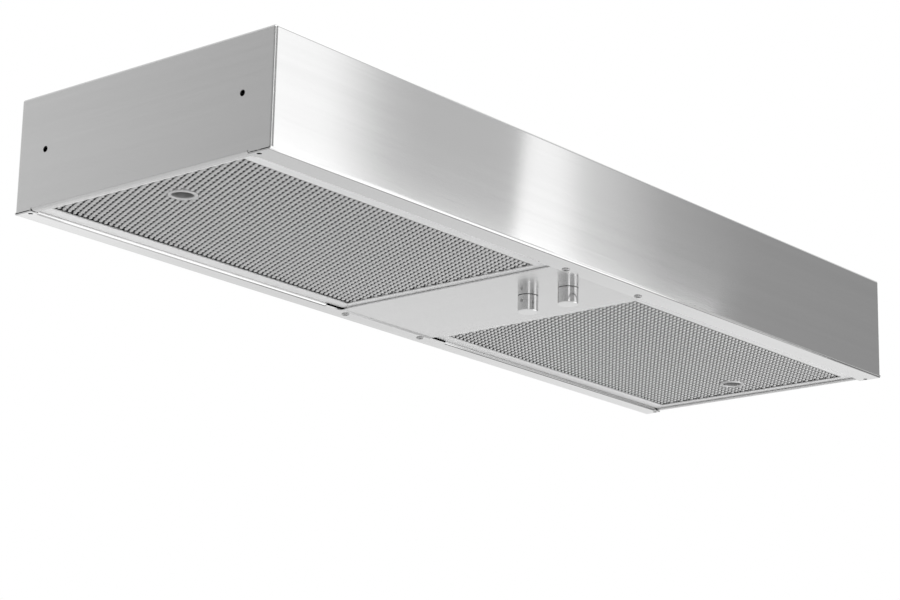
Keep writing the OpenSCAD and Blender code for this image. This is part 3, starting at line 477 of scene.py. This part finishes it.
# The sheets behind are the same aluminium, given darker tones as painted shade: the inner sheet darker than
# the outer one, and the flat sheet behind darkest.
inner_shade_metal = cast_metal("expanded_aluminium_inside_painted_shade", 0.3, 0.45, mottle=0.2, grain_size=260)
painted_shade_metal = cast_metal("painted_shade_sheet_behind", 0.16, 0.6, mottle=0.3, grain_size=500)


def lattice(area, shift):
    """Points where strands meet: two sets of rows, the second half a diamond off the first."""
    x0, x1, y0, y1 = area
    points = []
    for j in range(int((y1 - y0) / (diamond_y / 2)) + 3):
        columns = np.arange(int((x1 - x0) / diamond_x) + 3)
        points.append(np.stack([x0 + shift[0] + (columns - 1 + (j % 2) / 2) * diamond_x,
                                np.full(len(columns), y0 + shift[1] + (j - 1) * diamond_y / 2)], 1))
    return np.concatenate(points)


def strand_sheet(area, z, shift, way, profile, stations, hole):
    """Strands from each point to the next one on; way is 1 or -1, and hole is (x, y, radius) left free."""
    starts = lattice(area, shift)
    run = np.array([way * diamond_x / 2, diamond_y / 2])
    middle = starts + run / 2
    keep = (middle[:, 0] > area[0]) & (middle[:, 0] < area[1])
    keep &= (middle[:, 1] > area[2]) & (middle[:, 1] < area[3])
    keep &= np.hypot(middle[:, 0] - hole[0], middle[:, 1] - hole[1]) > hole[2]
    starts = starts[keep]
    aside = np.array([run[1], -run[0]]) / np.linalg.norm(run)
    shape = np.array(profile)
    rings = []
    for share, wide, rise in stations:
        flat = starts[:, None, :] + run * share + shape[None, :, :1] * wide * aside
        level = z + strand_rise * rise + shape[None, :, 1:]
        rings.append(np.concatenate([flat, np.broadcast_to(level, flat.shape[:2] + (1,))], 2))
    verts = np.stack(rings, 1).reshape(-1, 3)
    count = len(shape)
    quads = []
    for k in range(len(stations) - 1):
        for i in range(count):
            j = (i + 1) % count
            quads.append((k * count + i, (k + 1) * count + i, (k + 1) * count + j, k * count + j))
    step = len(stations) * count
    faces = (np.array(quads)[None] + step * np.arange(len(starts))[:, None, None]).reshape(-1, 4)
    return verts, faces


def sheet_with_hole(area, hole, low_z, high_z):
    """A flat sheet with a round hole: rays from the hole's rim run out to the sheet's edge."""
    x0, x1, y0, y1 = area
    tiny = 1e-9
    ring, edge = [], []
    for i in range(hole_turns):
        a = 2 * math.pi * i / hole_turns
        dx, dy = hole[2] * math.cos(a), hole[2] * math.sin(a)
        reach_x = (x1 - hole[0]) / dx if dx > tiny else (x0 - hole[0]) / dx if dx < -tiny else math.inf
        reach_y = (y1 - hole[1]) / dy if dy > tiny else (y0 - hole[1]) / dy if dy < -tiny else math.inf
        ring.append((hole[0] + dx, hole[1] + dy))
        edge.append((hole[0] + dx * min(reach_x, reach_y), hole[1] + dy * min(reach_x, reach_y)))
    for x, y in ((x0, y0), (x1, y0), (x1, y1), (x0, y1)):
        nearest = min(range(hole_turns), key=lambda i: math.hypot(edge[i][0] - x, edge[i][1] - y))
        edge[nearest] = (x, y)
    verts = [(x, y, level) for level in (low_z, high_z) for x, y in ring + edge]
    faces = []
    for level in range(2):
        for i in range(hole_turns):
            j = (i + 1) % hole_turns
            quad = [level * 2 * hole_turns + n for n in (i, j, hole_turns + j, hole_turns + i)]
            faces.append(quad if level else quad[::-1])
    for i in range(hole_turns):
        j = (i + 1) % hole_turns
        faces.append((i, 2 * hole_turns + i, 2 * hole_turns + j, j))
        faces.append((hole_turns + i, hole_turns + j, 3 * hole_turns + j, 3 * hole_turns + i))
    return verts, faces


for side in ("left", "right"):
    low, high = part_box(side + "_filter_frame")
    left, right, front, back = channel_faces[side]
    area = (low.x + left - mesh_tuck, high.x - right + mesh_tuck,
            low.y + front - mesh_tuck, high.y - back + mesh_tuck)
    ring_low, ring_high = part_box(side + "_filter_eyelet")
    hole_x, hole_y = (ring_low.x + ring_high.x) / 2, (ring_low.y + ring_high.y) / 2
    hole = (hole_x, hole_y, strand_clear_r)
    mesh_level = low.z + channel_gauge + mesh_gap
    for name, z, shift, material, stations in (
            ("outer", mesh_level, (0, 0), strand_metal[side], (ridge_stations, bridge_stations)),
            ("inner", mesh_level + inner_rise, (diamond_x / 2, 0), inner_shade_metal,
             (plain_stations, plain_stations))):
        ridges, ridge_faces = strand_sheet(area, z, shift, 1, ridge, stations[0], hole)
        bridges, bridge_faces = strand_sheet(area, z, shift, -1, bridge, stations[1], hole)
        sheet = add_mesh(side + "_mesh_" + name, np.concatenate([ridges, bridges]),
                         np.concatenate([ridge_faces, bridge_faces + len(ridges)]), material)
        if name == "outer":
            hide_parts(side + "_filter_mesh")
        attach(sheet, side + "_filter")
    pack_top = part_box(side + "_filter_mesh")[1].z
    # Behind them, a flat dark sheet with the finger hole closes the view: painted shade for the depth of the
    # pack.
    verts, faces = sheet_with_hole(area, (hole_x, hole_y, behind_hole_r), mesh_level + behind_rise, pack_top)
    shade_sheet = add_mesh(side + "_painted_shade_sheet", verts, faces, painted_shade_metal)
    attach(shade_sheet, side + "_filter")

# Eyelets: an aluminium ring round the finger hole at the outer end of each filter. It is pressed from sheet,
# and its two rims were rolled over so that they grip the layers of mesh between them.
def turned_ring(name, outline, centre, material, turns=96):
    """A ring about a vertical axis; outline is a closed list of (radius, height)."""
    verts, faces = [], []
    count = len(outline)
    for i in range(turns):
        a = 2 * math.pi * i / turns
        for r, z in outline:
            verts.append((centre[0] + r * math.cos(a), centre[1] + r * math.sin(a), centre[2] + z))
    for i in range(turns):
        j = (i + 1) % turns
        for k in range(count):
            m = (k + 1) % count
            faces.append((i * count + k, j * count + k, j * count + m, i * count + m))
    piece = add_mesh(name, verts, faces, material, smooth=True)
    piece.data.set_sharp_from_angle(angle=math.radians(35))
    return piece


hole_r = 0.0095
rim_steps = 12
# How far a rim stands out, as a share of half its width.
rim_share = 0.9
eyelet_aluminium = cast_metal("rolled_aluminium", 0.6, 0.5)
for side in ("left", "right"):
    low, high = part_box(side + "_filter_eyelet")
    pack_low, pack_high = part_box(side + "_filter_mesh")
    centre = ((low.x + high.x) / 2, (low.y + high.y) / 2, 0)
    half_rim = ((high.x - low.x) / 2 - hole_r) / 2
    outline = []
    for face_z, way in ((pack_low.z, -1), (pack_high.z, 1)):
        for i in range(rim_steps + 1):
            a = math.pi * i / rim_steps
            outline.append((hole_r + half_rim + way * half_rim * math.cos(a),
                            face_z + way * half_rim * rim_share * math.sin(a)))
    ring = turned_ring(side + "_eyelet_ring", outline[::-1], centre, eyelet_aluminium)
    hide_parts(side + "_filter_eyelet")
    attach(ring, side + "_filter")

# Knobs: solid bar turned and polished, with a small chamfer at the end that faces down. Each slips over its
# shaft, and a steel set screw in its side holds it: black at the fan's knob, bright at the light's.
polished = brushed_metal("polished_bar", 0.66, "X", 0.11, smear=0.0, streak=0.02)
for name in ("fan_knob", "light_knob"):
    finish_node(name, polished)
finish_node("fan_set_screw", cast_metal("black_oxide", 0.48, 0.4))
finish_node("light_set_screw", bright_steel)

# Blower, duct collar, straps and boxes: zinc-coated sheet, cut, folded and spot welded or riveted, with the
# faint crystals of the coating. The wheels are strips of the same sheet, crimped into their end rings.
zinc_sheet = cast_metal("zinc_coated_sheet", 0.56, 0.42, mottle=0.1, grain_size=70)
for name in ("control_shield", "motor_band", "left_scroll", "right_scroll", "left_inlet_ring",
             "right_inlet_ring", "capacitor_strap", "junction_box", "junction_cover", "duct_collar",
             "damper_flap", "left_wheel", "right_wheel"):
    finish_node(name, zinc_sheet)

# Motor: a drawn steel shell in black enamel. The band round it hangs it under the top panel.
def dull_material(name, colour, rough, grain_size=900, coat=0.0):
    """Paint, moulded plastic or rubber."""
    material, tree = new_material(name)
    place = add_node(tree, "ShaderNodeTexCoord")
    grain = add_node(tree, "ShaderNodeTexNoise", Scale=float(grain_size), Detail=3.0)
    tree.links.new(place.outputs["Object"], grain.inputs["Vector"])
    shader = add_node(tree, "ShaderNodeBsdfPrincipled")
    tint = add_node(tree, "ShaderNodeMix", data_type="RGBA")
    tint.inputs["A"].default_value = tuple(c * 0.9 for c in colour) + (1,)
    tint.inputs["B"].default_value = tuple(min(1, c * 1.1) for c in colour) + (1,)
    tree.links.new(grain.outputs["Fac"], tint.inputs["Factor"])
    tree.links.new(tint.outputs["Result"], shader.inputs["Base Color"])
    shader.inputs["Roughness"].default_value = rough
    shader.inputs["Coat Weight"].default_value = coat
    bump = add_node(tree, "ShaderNodeBump", Strength=0.3, Distance=0.00003)
    tree.links.new(grain.outputs["Fac"], bump.inputs["Height"])
    tree.links.new(bump.outputs[0], shader.inputs["Normal"])
    tree.links.new(shader.outputs[0], add_node(tree, "ShaderNodeOutputMaterial").inputs[0])
    return material


finish_node("motor", dull_material("black_enamel", (0.02, 0.02, 0.022), 0.35, 300, coat=0.4))

# Controls and terminal block: moulded plastic bodies. The fan control and the light dimmer are black and hang
# by their threaded bushings in the centre panel; the terminal block is pale and sits in the junction box.
moulded = dull_material("black_moulding", (0.025, 0.025, 0.027), 0.55)
for name in ("fan_control", "light_dimmer"):
    finish_node(name, moulded)
finish_node("terminal_block", dull_material("pale_moulding", (0.72, 0.69, 0.58), 0.5))

# Cables and grommets: round cable in a black plastic sheath, and black rubber rings pressed into the holes
# that it runs through.
sheath = dull_material("black_sheath", (0.03, 0.03, 0.032), 0.45, 600)
for name in ("control_cable", "motor_lead", "capacitor_lead"):
    finish_node(name, sheath)
finish_node("cable_grommets", dull_material("black_rubber", (0.02, 0.02, 0.02), 0.7))
